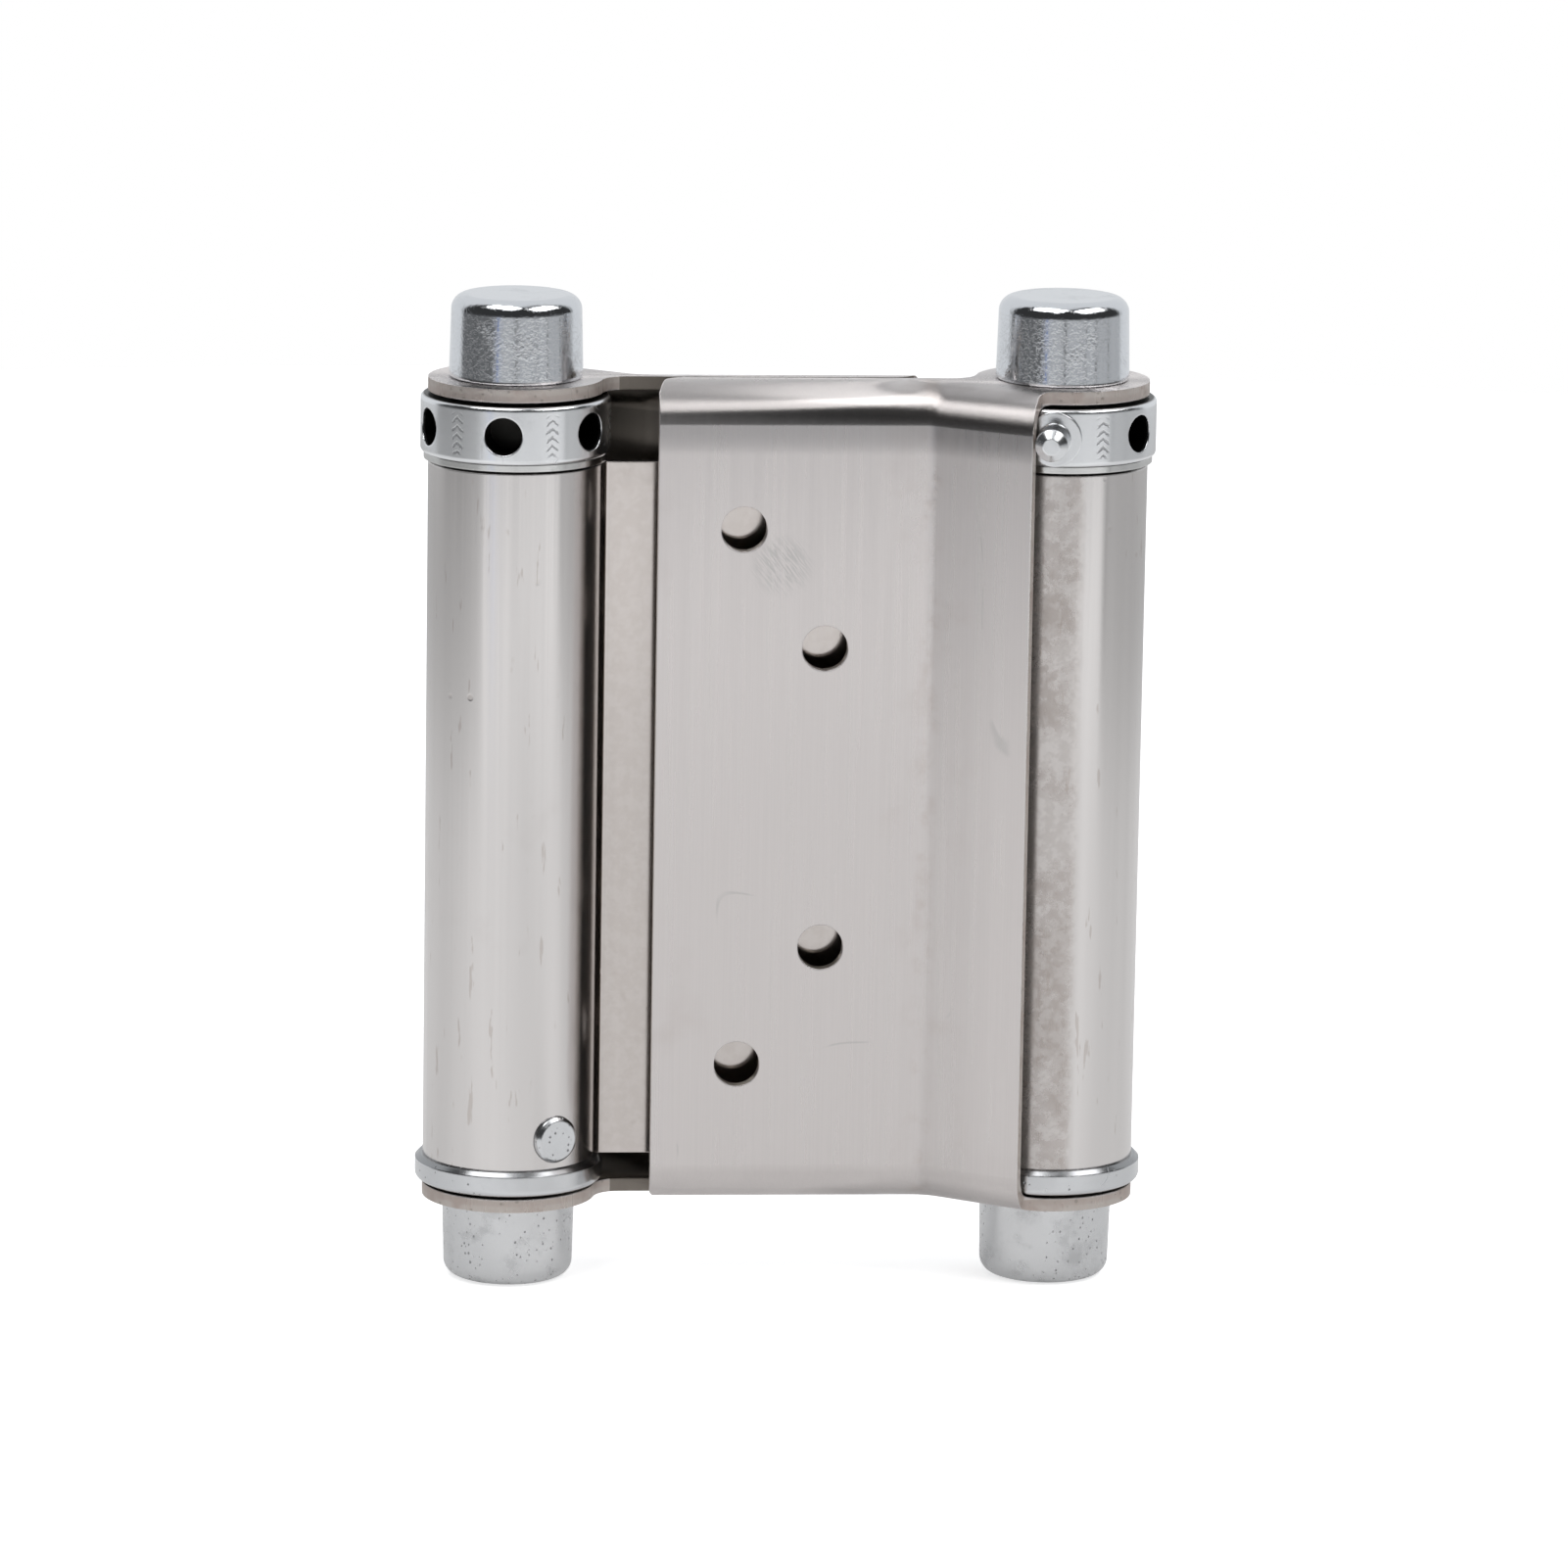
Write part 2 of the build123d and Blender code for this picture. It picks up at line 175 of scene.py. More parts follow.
class SteelFinish(PropertyGroup):
    """Bare steel of the washers, spindles and springs"""

    bright: colour_property("Bright steel", "Washers and spindles", (0.72, 0.72, 0.71))
    spring: colour_property("Spring steel", "Oiled dark wire of the springs", (0.22, 0.21, 0.20))
    bright_roughness: factor_property("Bright roughness", "Gloss of the washers and spindles", 0.18)
    spring_roughness: factor_property("Spring roughness", "Gloss of the spring wire", 0.34)
    turning_width: length_property("Turning width", "Width of one turning line", 0.1 * MILLIMETRE)
    turning_depth: length_property("Turning depth", "Depth of the turning lines", 0.002 * MILLIMETRE)
    edge_width: length_property("Edge width", "Width of the broken edges", 0.1 * MILLIMETRE)


class StudioSettings(PropertyGroup):
    """Floor, lights and the view"""

    floor_colour: colour_property("Floor colour", "Pale floor", (0.93, 0.93, 0.93))
    floor_glow: FloatProperty(name="Floor glow", description="Light the floor gives off", min=0.0, default=0.4)
    floor_shade: factor_property("Floor shade", "How pale the floor is in the metal's reflections", 0.52)
    floor_radius: length_property("Floor radius", "Radius of the round floor", 0.52)
    backdrop: FloatProperty(name="Backdrop", description="Brightness behind the hinge", min=0.0, default=0.8)
    ceiling: FloatProperty(name="Ceiling", description="Brightness over the hinge", min=0.0, default=0.75)
    room: FloatProperty(name="Room", description="Brightness of the unlit room in front", min=0.0, default=0.04)
    panels: FloatProperty(name="Panels", description="Brightness of the grey panels low in front", min=0.0,
                          default=0.52)
    box_power: FloatProperty(name="Soft boxes", description="Light of each soft box above the front", min=0.0,
                             unit="POWER", default=3.75)
    box_height: length_property("Box height", "Height of a soft box", 0.42)
    box_width: length_property("Box width", "Width of a soft box", 0.72)
    box_distance: length_property("Box distance", "Distance of a soft box", 1.0)
    left_azimuth: FloatProperty(name="Left box azimuth", description="Turn of the left soft box from the front",
                                subtype="ANGLE", default=radians(-46.0))
    left_elevation: FloatProperty(name="Left box elevation", description="Height angle of the left soft box",
                                  subtype="ANGLE", default=radians(66.0))
    right_azimuth: FloatProperty(name="Right box azimuth", description="Turn of the right soft box from the front",
                                 subtype="ANGLE", default=radians(64.0))
    right_elevation: FloatProperty(name="Right box elevation", description="Height angle of the right soft box",
                                   subtype="ANGLE", default=radians(54.0))
    distance: length_property("Camera distance", "From the camera to the aim", 0.8213)
    azimuth: FloatProperty(name="Camera azimuth", description="Turn of the camera about the hinge",
                           subtype="ANGLE", default=radians(-4.388))
    elevation: FloatProperty(name="Camera elevation", description="Height angle of the camera",
                             subtype="ANGLE", default=radians(11.704))
    roll: FloatProperty(name="Camera roll", description="Lean of the camera", subtype="ANGLE",
                        default=radians(0.919))
    lens: FloatProperty(name="Lens", description="Focal length in millimetres on a 36 mm sensor", min=1.0,
                        default=208.95)
    aim: FloatVectorProperty(name="Aim", description="Point at the middle of the view", subtype="TRANSLATION",
                             unit="LENGTH", size=3, default=(0.000053, 0.0, 0.000349))


class HingeSettings(PropertyGroup):
    """All finishes and the studio"""

    leaf: PointerProperty(type=LeafFinish)
    barrel: PointerProperty(type=BarrelFinish)
    plating: PointerProperty(type=PlatingFinish)
    steel: PointerProperty(type=SteelFinish)
    studio: PointerProperty(type=StudioSettings)


# Node helpers

def set_input(tree, socket, value):
    """Links the socket to another socket, or sets it to a plain value."""
    if isinstance(value, bpy.types.NodeSocket):
        tree.links.new(value, socket)
    elif socket.type == "RGBA" and len(value) == 3:
        socket.default_value = (*value, 1.0)
    else:
        socket.default_value = value


def add_node(tree, kind, inputs=None, **settings):
    """New node with its settings and its inputs, each a socket or a plain value."""
    node = tree.nodes.new(kind)
    for name, value in settings.items():
        setattr(node, name, value)
    for key, value in (inputs or {}).items():
        set_input(tree, node.inputs[key], value)
    return node


def calculate(tree, operation, first, second=0.0, clamp=False):
    node = add_node(tree, "ShaderNodeMath", {0: first, 1: second}, operation=operation, use_clamp=clamp)
    return node.outputs[0]


def times(tree, first, second):
    return calculate(tree, "MULTIPLY", first, second)


def either(tree, first, second):
    return calculate(tree, "MAXIMUM", first, second)


def away_from(tree, value, middle=0.0):
    """Distance of the value from the middle, whichever side it is on."""
    if middle:
        value = calculate(tree, "SUBTRACT", value, middle)
    return calculate(tree, "ABSOLUTE", value)


def ramp(tree, value, low, high, to_low=0.0, to_high=1.0):
    """Value brought from the range low to high to the range to_low to to_high, with soft ends."""
    node = add_node(tree, "ShaderNodeMapRange", {"Value": value, "From Min": low, "From Max": high,
                                                 "To Min": to_low, "To Max": to_high},
                    interpolation_type="SMOOTHSTEP")
    return node.outputs["Result"]


def mix_colours(tree, factor, first, second, blend="MIX"):
    node = add_node(tree, "ShaderNodeMix", data_type="RGBA", blend_type=blend)
    by_name = {socket.identifier: socket for socket in node.inputs}
    set_input(tree, by_name["Factor_Float"], factor)
    set_input(tree, by_name["A_Color"], first)
    set_input(tree, by_name["B_Color"], second)
    return next(socket for socket in node.outputs if socket.identifier == "Result_Color")


def bump(tree, height, distance, normal=None):
    inputs = {"Height": height, "Distance": distance, "Strength": 1.0}
    if normal is not None:
        inputs["Normal"] = normal
    return add_node(tree, "ShaderNodeBump", inputs).outputs["Normal"]


def lay_out(tree, columns=8, step_x=220, step_y=260):
    """Spreads the nodes in rows, in the order they were made."""
    for index, node in enumerate(tree.nodes):
        node.location = (step_x * (index % columns), -step_y * (index // columns))


def open_group(name, inputs, outputs):
    """New shader node group. Inputs are names with defaults, outputs are names with socket types."""
    group = bpy.data.node_groups.new(name, "ShaderNodeTree")
    for label, default in inputs.items():
        socket = group.interface.new_socket(label, in_out="INPUT", socket_type="NodeSocketFloat")
        socket.default_value = default
    for label, kind in outputs.items():
        group.interface.new_socket(label, in_out="OUTPUT", socket_type=kind)
    return group, group.nodes.new("NodeGroupInput"), group.nodes.new("NodeGroupOutput")


def use_group(tree, name, **inputs):
    """The named group placed in a material with its own values."""
    builder = EFFECTS[name]
    group = bpy.data.node_groups.get(name) or builder(name)
    node = add_node(tree, "ShaderNodeGroup", node_tree=group)
    for label, value in inputs.items():
        set_input(tree, node.inputs[label.replace("_", " ").capitalize()], value)
    return node


# Effects shared by the finishes

def stretched_noise(group, width, length, detail):
    """Noise in long upright strands of the given width and length."""
    place = add_node(group, "ShaderNodeTexCoord").outputs["Object"]
    strand = add_node(group, "ShaderNodeCombineXYZ", {"X": width, "Y": width, "Z": length})
    scaled = add_node(group, "ShaderNodeVectorMath", {0: place, 1: strand.outputs[0]}, operation="DIVIDE")
    noise = add_node(group, "ShaderNodeTexNoise", {"Vector": scaled.outputs[0], "Scale": 1.0, "Detail": detail,
                                                   "Roughness": 0.6})
    return noise.outputs["Fac"]


def build_upright_grain(name):
    """Fine upright lines, with a few that stand out."""
    group, entry, result = open_group(
        name, {"Width": 0.0002, "Length": 0.01},
        {"Mask": "NodeSocketFloat", "Streaks": "NodeSocketFloat"})
    width, length = entry.outputs["Width"], entry.outputs["Length"]
    fine = stretched_noise(group, width, length, 2.0)
    broad_width = times(group, width, 7.0)
    broad_length = times(group, length, 3.0)
    broad = stretched_noise(group, broad_width, broad_length, 3.0)
    set_input(group, result.inputs["Mask"], ramp(group, fine, 0.25, 0.75))
    set_input(group, result.inputs["Streaks"], ramp(group, broad, 0.3, 0.72))
    lay_out(group)
    return group


def build_handling_marks(name):
    """Soft clouds where the metal was handled, broken up by finer ones."""
    group, entry, result = open_group(
        name, {"Size": 0.01, "Spread": 0.5, "Seed": 0.0},
        {"Mask": "NodeSocketFloat"})
    place = add_node(group, "ShaderNodeTexCoord").outputs["Object"]
    scale = calculate(group, "DIVIDE", 1.0, entry.outputs["Size"])
    cloud = add_node(group, "ShaderNodeTexNoise", {"Vector": place, "W": entry.outputs["Seed"], "Scale": scale,
                                                   "Detail": 5.0, "Roughness": 0.62},
                     noise_dimensions="4D")
    low = calculate(group, "SUBTRACT", 0.72, times(group, entry.outputs["Spread"], 0.4))
    high = calculate(group, "ADD", low, 0.22)
    set_input(group, result.inputs["Mask"], ramp(group, cloud.outputs["Fac"], low, high))
    lay_out(group)
    return group


def build_pits(name):
    """Small pits scattered in patches."""
    group, entry, result = open_group(
        name, {"Size": 0.0005, "Share": 0.5, "Seed": 0.0},
        {"Mask": "NodeSocketFloat"})
    place = add_node(group, "ShaderNodeTexCoord").outputs["Object"]
    scale = calculate(group, "DIVIDE", 1.0, entry.outputs["Size"])
    cells = add_node(group, "ShaderNodeTexVoronoi", {"Vector": place, "W": entry.outputs["Seed"], "Scale": scale},
                     voronoi_dimensions="4D")
    dots = ramp(group, cells.outputs["Distance"], 0.34, 0.16)
    patch_scale = times(group, scale, 0.16)
    patches = add_node(group, "ShaderNodeTexNoise", {"Vector": place, "W": entry.outputs["Seed"],
                                                     "Scale": patch_scale, "Detail": 3.0},
                       noise_dimensions="4D")
    gate = calculate(group, "SUBTRACT", 0.8, times(group, entry.outputs["Share"], 0.5))
    shown = ramp(group, patches.outputs["Fac"], gate, calculate(group, "ADD", gate, 0.08))
    set_input(group, result.inputs["Mask"], times(group, dots, shown))
    lay_out(group)
    return group


def build_soft_edges(name):
    """Edges rounded in the shading, and a mask of where they are."""
    group, entry, result = open_group(
        name, {"Width": 0.0002},
        {"Normal": "NodeSocketVector", "Mask": "NodeSocketFloat"})
    rounded = add_node(group, "ShaderNodeBevel", {"Radius": entry.outputs["Width"]}, samples=6)
    true_normal = add_node(group, "ShaderNodeNewGeometry").outputs["Normal"]
    match = add_node(group, "ShaderNodeVectorMath", {0: rounded.outputs[0], 1: true_normal},
                     operation="DOT_PRODUCT")
    set_input(group, result.inputs["Normal"], rounded.outputs[0])
    set_input(group, result.inputs["Mask"], ramp(group, match.outputs["Value"], 0.995, 0.9))
    lay_out(group)
    return group


def build_hairlines(name):
    """Sparse curved scratches, as thin as a hair."""
    group, entry, result = open_group(
        name, {"Size": 0.01, "Share": 0.5, "Seed": 0.0},
        {"Mask": "NodeSocketFloat"})
    place = add_node(group, "ShaderNodeTexCoord").outputs["Object"]
    scale = calculate(group, "DIVIDE", 1.0, entry.outputs["Size"])
    field = add_node(group, "ShaderNodeTexNoise", {"Vector": place, "W": entry.outputs["Seed"], "Scale": scale,
                                                   "Detail": 0.0}, noise_dimensions="4D").outputs["Fac"]
    off_line = away_from(group, field, 0.5)
    line = ramp(group, off_line, 0.005, 0.0015)
    gate_seed = calculate(group, "ADD", entry.outputs["Seed"], 4.0)
    gate_scale = times(group, scale, 1.7)
    gate = add_node(group, "ShaderNodeTexNoise", {"Vector": place, "W": gate_seed, "Scale": gate_scale},
                    noise_dimensions="4D").outputs["Fac"]
    start = calculate(group, "SUBTRACT", 0.75, times(group, entry.outputs["Share"], 0.45))
    shown = ramp(group, gate, start, calculate(group, "ADD", start, 0.06))
    set_input(group, result.inputs["Mask"], times(group, line, shown))
    lay_out(group)
    return group


EFFECTS = {
    "upright_grain": build_upright_grain,
    "handling_marks": build_handling_marks,
    "pits": build_pits,
    "soft_edges": build_soft_edges,
    "hairlines": build_hairlines,
}


def split_axes(tree, output):
    """X, Y and Z of the object's place or normal at a point of the surface."""
    source = add_node(tree, "ShaderNodeTexCoord").outputs[output]
    parts = add_node(tree, "ShaderNodeSeparateXYZ", {0: source}).outputs
    return parts["X"], parts["Y"], parts["Z"]


def round_the_pin(tree):
    """Radius from the nearer pin's axis, and angle from the front of the right barrel or the back of the left."""
    x, y, z = split_axes(tree, "Object")
    side = calculate(tree, "SIGN", x)
    across = calculate(tree, "SUBTRACT", times(tree, x, side), pin_x)
    back = times(tree, y, side)
    flat = add_node(tree, "ShaderNodeCombineXYZ", {"X": across, "Y": back})
    radius = add_node(tree, "ShaderNodeVectorMath", {0: flat.outputs[0]}, operation="LENGTH").outputs["Value"]
    angle = calculate(tree, "ARCTAN2", across, times(tree, back, -1.0))
    return radius, angle, z


def new_material(name):
    """Material with an empty Principled shader, and its node tree."""
    material = bpy.data.materials.new(name)
    material.use_nodes = True
    return material, material.node_tree, material.node_tree.nodes["Principled BSDF"]


def leaf_material(finish):
    """Ground stainless sheet: upright grain, tarnish clouds, brown cut edges, painted shade at the crease, slope and
    inner faces, and a painted highlight on the burr.
    """
    material, tree, shader = new_material("ground_stainless")
    grain = use_group(tree, "upright_grain", width=finish.grain_width, length=finish.grain_length)
    marks = use_group(tree, "handling_marks", size=0.016, spread=0.4, seed=2.0).outputs["Mask"]
    grime_and_shade = use_group(tree, "handling_marks", size=0.0022, spread=0.7, seed=4.0).outputs["Mask"]
    scratches = use_group(tree, "hairlines", size=0.012, share=0.35, seed=3.0).outputs["Mask"]
    edges = use_group(tree, "soft_edges", width=finish.edge_width)
    x, y, z = split_axes(tree, "Object")
    facing_x, facing_y, facing_z = split_axes(tree, "Normal")
    front_or_back = calculate(tree, "SIGN", y)
    along = times(tree, times(tree, x, front_or_back), -1.0)
    out_x, out_z = away_from(tree, x), away_from(tree, z)
    upright = away_from(tree, facing_z)

    # Sheared edges and hole walls: the ears' rims are dark where the sheet tore, the free edge has a burr with a
    # painted highlight
    side_face = times(tree, ramp(tree, away_from(tree, facing_x), 0.7, 0.8),
                      ramp(tree, out_x, HOLES_REACH_X, HOLES_REACH_X + MILLIMETRE))
    rim_face = times(tree, ramp(tree, upright, 0.55, 0.4),
                     ramp(tree, out_z, ear_inside_z, ear_inside_z + 0.2 * MILLIMETRE))
    by_holes = times(tree, ramp(tree, out_x, HOLES_REACH_X, HOLES_REACH_X - 0.5 * MILLIMETRE),
                     ramp(tree, out_z, HOLES_REACH_Z, HOLES_REACH_Z - 0.5 * MILLIMETRE))
    hole_wall = times(tree, ramp(tree, away_from(tree, facing_y), 0.6, 0.4), by_holes)
    cut = either(tree, either(tree, side_face, rim_face), hole_wall)
    fracture = times(tree, rim_face,
                     ramp(tree, out_z, leaf_top_z - 0.4 * MILLIMETRE, leaf_top_z - 0.7 * MILLIMETRE))
    by_free_edge = times(tree, ramp(tree, along, FREE_EDGE_X - MILLIMETRE, FREE_EDGE_X),
                         ramp(tree, out_z, leaf_top_z - 3.0 * MILLIMETRE, leaf_top_z - 4.5 * MILLIMETRE))
    burr_highlight = times(tree, edges.outputs["Mask"], by_free_edge)

    # Painted shade on the faces turned in to the middle leaf, and grains raised along the bends
    turned_in = either(tree, times(tree, times(tree, facing_y, front_or_back), -1.0),
                       times(tree, times(tree, facing_z, calculate(tree, "SIGN", z)), -1.0))
    inside = ramp(tree, turned_in, 0.3, 0.6)
    worked = times(tree, ramp(tree, upright, 0.03, 0.2), ramp(tree, upright, 0.99, 0.9))

    # Painted shade along the crease, bumped as wrinkles too, and on the slope beyond; a rubbed patch by the upper
    # hole
    from_crease = calculate(tree, "SUBTRACT", along, finish.crease)
    cracks = times(tree, ramp(tree, grain.outputs["Mask"], 0.3, 0.1), marks)
    off_crease = away_from(tree, from_crease)
    crease_wrinkle_and_shade = times(tree, ramp(tree, off_crease, 1.4 * MILLIMETRE, 0.2 * MILLIMETRE),
                    either(tree, times(tree, grime_and_shade, 0.6), cracks))
    slope = times(tree, ramp(tree, from_crease, -0.6 * MILLIMETRE, 0.5 * MILLIMETRE),
                  ramp(tree, along, finish.slope_end, finish.crease + MILLIMETRE))
    place = add_node(tree, "ShaderNodeTexCoord").outputs["Object"]
    apart = add_node(tree, "ShaderNodeVectorMath", {0: place, 1: tuple(finish.rubbed)}, operation="DISTANCE")
    turned = add_node(tree, "ShaderNodeVectorRotate", {"Vector": place, "Angle": RUB_LEAN},
                      rotation_type="Y_AXIS").outputs[0]
    stretched = add_node(tree, "ShaderNodeVectorMath", {0: turned, 1: RUB_STROKES}, operation="MULTIPLY")
    rubbing = add_node(tree, "ShaderNodeTexNoise", {"Vector": stretched.outputs[0], "Scale": 1.0, "Detail": 2.0})
    rubbed = times(tree, ramp(tree, apart.outputs["Value"], finish.rubbed_size, 0.3 * finish.rubbed_size),
                   ramp(tree, rubbing.outputs["Fac"], 0.4, 0.62))

    blotches = use_group(tree, "handling_marks", size=0.005, spread=0.5, seed=12.0).outputs["Mask"]
    by_crease = ramp(tree, off_crease, 6.0 * MILLIMETRE, 0.5 * MILLIMETRE)
    tinted = mix_colours(tree, times(tree, marks, 0.22), finish.colour, finish.tarnish)
    tinted = mix_colours(tree, times(tree, times(tree, blotches, by_crease), 0.22), tinted, finish.tarnish)
    tinted = mix_colours(tree, times(tree, rubbed, 0.5), tinted, finish.smudge)
    # Painted shade: a darker line along the crease
    tinted = mix_colours(tree, times(tree, crease_wrinkle_and_shade, 0.5), tinted, finish.tarnish)
    streak = ramp(tree, grain.outputs["Streaks"], 0.0, 1.0, 0.988, 1.01)
    line = ramp(tree, grain.outputs["Mask"], 0.0, 1.0, 0.988, 1.01)
    # Painted shade: the slope beyond the crease is made 7% darker
    shade = times(tree, times(tree, streak, line), ramp(tree, slope, 0.0, 1.0, 1.0, 0.93))
    grained_and_slope_shaded = mix_colours(tree, 1.0, tinted, shade, "MULTIPLY")
    glint = use_group(tree, "pits", size=0.0007, share=0.9, seed=6.0).outputs["Mask"]
    sheared = mix_colours(tree, grime_and_shade, finish.cut, finish.tarnish)
    sheared = mix_colours(tree, times(tree, fracture, 0.55), sheared, finish.tarnish)
    sheared = mix_colours(tree, times(tree, glint, 0.6), sheared, finish.inside)
    edged = mix_colours(tree, cut, grained_and_slope_shaded, sheared)
    # Painted highlight on the free edge's burr
    edged = mix_colours(tree, times(tree, burr_highlight, 0.8), edged, finish.burr_highlight)
    scratched = mix_colours(tree, times(tree, scratches, 0.35), edged, finish.smudge)
    # Painted shade on the faces turned in to the middle leaf
    set_input(tree, shader.inputs["Base Color"], mix_colours(tree, inside, scratched, finish.inside))
    set_input(tree, shader.inputs["Metallic"], ramp(tree, either(tree, cut, burr_highlight), 0.0, 1.0, 1.0, 0.55))
    shader.inputs["Anisotropic"].default_value = finish.anisotropy
    rough = ramp(tree, grain.outputs["Streaks"], 0.0, 1.0, finish.roughness - 0.02, finish.roughness + 0.02)
    rough = calculate(tree, "ADD", rough, times(tree, marks, 0.03))
    rough = calculate(tree, "ADD", rough, times(tree, worked, 0.08))
    set_input(tree, shader.inputs["Roughness"],
              calculate(tree, "ADD", rough, times(tree, inside, 0.2), clamp=True))
    # The flat curves a little before it reaches each bend
    into_bulge = ramp(tree, out_z, finish.bulge_start, finish.bulge_start + 2.0 * finish.bulge_size, 0.0, -2.0)
    # The ears' rims stay crisp
    plain = add_node(tree, "ShaderNodeNewGeometry").outputs["Normal"]
    rounded = mix_colours(tree, times(tree, rim_face, 0.85), edges.outputs["Normal"], plain)
    curved = bump(tree, into_bulge, finish.bulge_depth, rounded)
    sheet_normal = bump(tree, grain.outputs["Mask"], finish.grain_depth, curved)
    grains = use_group(tree, "handling_marks", size=0.0004, spread=0.9, seed=14.0).outputs["Mask"]
    sheet_normal = bump(tree, times(tree, grains, worked), finish.worked_depth, sheet_normal)
    torn = times(tree, either(tree, grime_and_shade, glint), either(tree, either(tree, cut, burr_highlight), times(tree, crease_wrinkle_and_shade, 0.5)))
    set_input(tree, shader.inputs["Normal"], bump(tree, torn, 0.012 * MILLIMETRE, sheet_normal))
    lay_out(tree)
    return material


def barrel_material(finish):
    """Rolled sheet: smooth tubes with faint die lines, a satin web and brown mottled places."""
    material, tree, shader = new_material("rolled_stainless")
    lines = use_group(tree, "upright_grain", width=finish.line_width, length=finish.line_length)
    marks = use_group(tree, "handling_marks", size=0.012, spread=0.4, seed=7.0).outputs["Mask"]
    mottle = use_group(tree, "handling_marks", size=0.0009, spread=0.85, seed=9.0).outputs["Mask"]
    stains = use_group(tree, "handling_marks", size=0.007, spread=0.8, seed=31.0).outputs["Mask"]
    strokes = use_group(tree, "upright_grain", width=0.0001, length=0.0016).outputs["Streaks"]
    specks = use_group(tree, "pits", size=0.0012, share=0.45, seed=5.0).outputs["Mask"]
    edges = use_group(tree, "soft_edges", width=finish.edge_width)
    angle = round_the_pin(tree)[1]
    x = split_axes(tree, "Object")[0]
    web = ramp(tree, away_from(tree, x), web_edge_x + 0.6 * MILLIMETRE, web_edge_x - 0.4 * MILLIMETRE)
    on_tube = calculate(tree, "SUBTRACT", 1.0, web)
    # The roll's last bend, beside the free edge of the leaf, is browner than the rest
    browned = times(tree, times(tree, ramp(tree, angle, radians(14.0), radians(4.0)),
                                ramp(tree, angle, radians(-75.0), radians(-40.0))), on_tube)
    patchy = times(tree, ramp(tree, mottle, 0.0, 1.0, 0.65, 1.0), ramp(tree, stains, 0.0, 1.0, 0.55, 1.0))
    brown = times(tree, browned, patchy)
    scuffs = times(tree, ramp(tree, strokes, 0.94, 1.0), on_tube)
    sheet = mix_colours(tree, web, finish.colour, finish.web_colour)
    tinted = mix_colours(tree, times(tree, marks, 0.16), sheet, finish.tarnish)
    tinted = mix_colours(tree, times(tree, times(tree, mottle, web), 0.14), tinted, finish.tarnish)
    tinted = mix_colours(tree, times(tree, brown, 0.6), tinted, finish.tarnish)
    tinted = mix_colours(tree, times(tree, scuffs, 0.4), tinted, finish.tarnish)
    tinted = mix_colours(tree, times(tree, specks, 0.25), tinted, finish.tarnish)
    shade = ramp(tree, lines.outputs["Streaks"], 0.0, 1.0, 0.975, 1.015)
    set_input(tree, shader.inputs["Base Color"], mix_colours(tree, 1.0, tinted, shade, "MULTIPLY"))
    set_input(tree, shader.inputs["Metallic"], ramp(tree, brown, 0.0, 1.0, 1.0, 0.6))
    shader.inputs["Anisotropic"].default_value = finish.anisotropy
    rough = ramp(tree, lines.outputs["Mask"], 0.0, 1.0, finish.roughness - 0.02, finish.roughness + 0.03)
    satin = add_node(tree, "ShaderNodeMix", {0: web, 2: rough, 3: finish.web_roughness}).outputs[0]
    set_input(tree, shader.inputs["Roughness"],
              calculate(tree, "ADD", satin, times(tree, either(tree, brown, marks), 0.08)))
    drawn = bump(tree, lines.outputs["Streaks"], finish.line_depth, edges.outputs["Normal"])
    set_input(tree, shader.inputs["Normal"], bump(tree, times(tree, specks, -1.0), 0.01 * MILLIMETRE, drawn))
    lay_out(tree)
    return material


